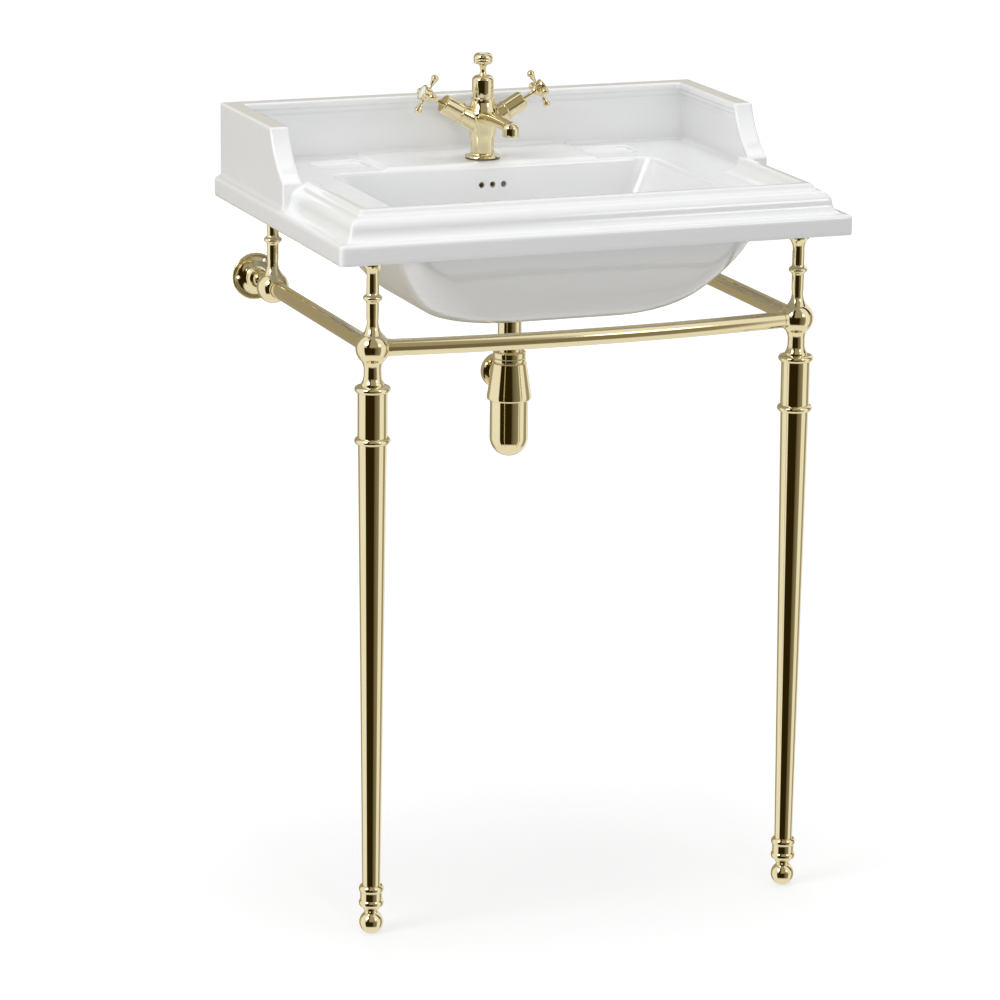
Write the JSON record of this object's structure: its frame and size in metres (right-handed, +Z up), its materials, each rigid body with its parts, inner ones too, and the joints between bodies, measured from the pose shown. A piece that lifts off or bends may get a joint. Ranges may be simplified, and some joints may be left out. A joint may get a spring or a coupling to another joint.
{
  "type": "console sink with legs",
  "caption": "Ceramic console sink with an upstand, on turned legs and rails fixed to the wall, with a cross-handle tap, pop-up waste and bottle trap.",
  "frame": {"origin": "on the floor, below the centre of the basin's outline", "axes": "+X to the user's right, +Y towards the wall, +Z up"},
  "size_m": [0.65, 0.49, 1.006],
  "materials": {
    "glazed_ceramic": "glossy white glaze on ceramic",
    "polished_gold": "polished pale gold plating",
    "porcelain_white": "glazed porcelain",
    "rubber_black": "matte",
    "rough_brass": "machined, unplated",
    "copper_tube": "drawn, unplated",
    "plain_steel": "satin"
  },
  "bodies": {
    "frame": {"basin": "glazed_ceramic", "centre_dome": "polished_gold", "front_rail": "polished_gold", "horseshoe_washer": "plain_steel", "left_corner_ball": "polished_gold", "left_foot": "polished_gold", "left_front_spindle": "polished_gold", "left_leg": "polished_gold", "left_rail": "polished_gold", "left_rear_ball": "polished_gold", "left_rear_spindle": "polished_gold", "left_valve_cartridge": "rough_brass", "left_valve_cover": "polished_gold", "left_wall_rose": "polished_gold", "pivot_nut": "rough_brass", "right_corner_ball": "polished_gold", "right_foot": "polished_gold", "right_front_spindle": "polished_gold", "right_leg": "polished_gold", "right_rail": "polished_gold", "right_rear_ball": "polished_gold", "right_rear_spindle": "polished_gold", "right_valve_cartridge": "rough_brass", "right_valve_cover": "polished_gold", "right_wall_rose": "polished_gold", "spindle_pads": "rubber_black", "spout": "polished_gold", "spout_aerator": "plain_steel", "supply_tails": "copper_tube", "tail_pipe": "polished_gold", "tap_backnut": "rough_brass", "tap_base_flange": "polished_gold", "tap_base_seal": "rubber_black", "tap_body": "polished_gold", "trap_body": "polished_gold", "trap_bottle": "polished_gold", "trap_dip_tube": "rough_brass", "trap_inlet_nut": "polished_gold", "trap_outlet_nut": "polished_gold", "waste_backnut": "rough_brass", "waste_flange": "polished_gold", "waste_tee": "rough_brass", "waste_washer": "rubber_black"},
    "left_handle": {"left_valve_spindle": "rough_brass", "left_crosshead": "polished_gold", "left_index": "porcelain_white", "left_handle_screw": "plain_steel"},
    "right_handle": {"right_valve_spindle": "rough_brass", "right_crosshead": "polished_gold", "right_index": "porcelain_white", "right_handle_screw": "plain_steel"},
    "lift": {"lift_knob": "polished_gold", "lift_knob_cap": "porcelain_white", "lift_rod": "polished_gold", "lift_strap": "plain_steel", "strap_screw": "plain_steel", "spring_clip": "plain_steel"},
    "pivot": {"pivot_rod": "plain_steel"},
    "plug": {"waste_plug": "polished_gold", "plug_seal": "rubber_black"}
  },
  "joints": [
    {"name": "left_handle_turn", "type": "hinge", "parent": "frame", "child": "left_handle", "pos_m": [0, 0.158, 0.914], "axis": [-0.8704, 0, 0.4924], "range_deg": [0, 90]},
    {"name": "right_handle_turn", "type": "hinge", "parent": "frame", "child": "right_handle", "pos_m": [0, 0.158, 0.914], "axis": [0.8704, 0, 0.4924], "range_deg": [-90, 0]},
    {"name": "lift_slide", "type": "slide", "parent": "frame", "child": "lift", "axis": [0, 0, 1], "range_m": [0, 0.014]},
    {"name": "pivot_tilt", "type": "hinge", "parent": "frame", "child": "pivot", "pos_m": [0, 0.08, 0.7], "axis": [1, 0, 0], "range_deg": [0, 9.71]},
    {"name": "plug_slide", "type": "slide", "parent": "frame", "child": "plug", "axis": [0, 0, 1], "range_m": [-0.00407, 0]}
  ],
  "couplings": [
    {"joint": "pivot_tilt", "follows": "lift_slide", "rad_per_m": 12.092},
    {"joint": "plug_slide", "follows": "lift_slide", "ratio": -0.29021}
  ]
}
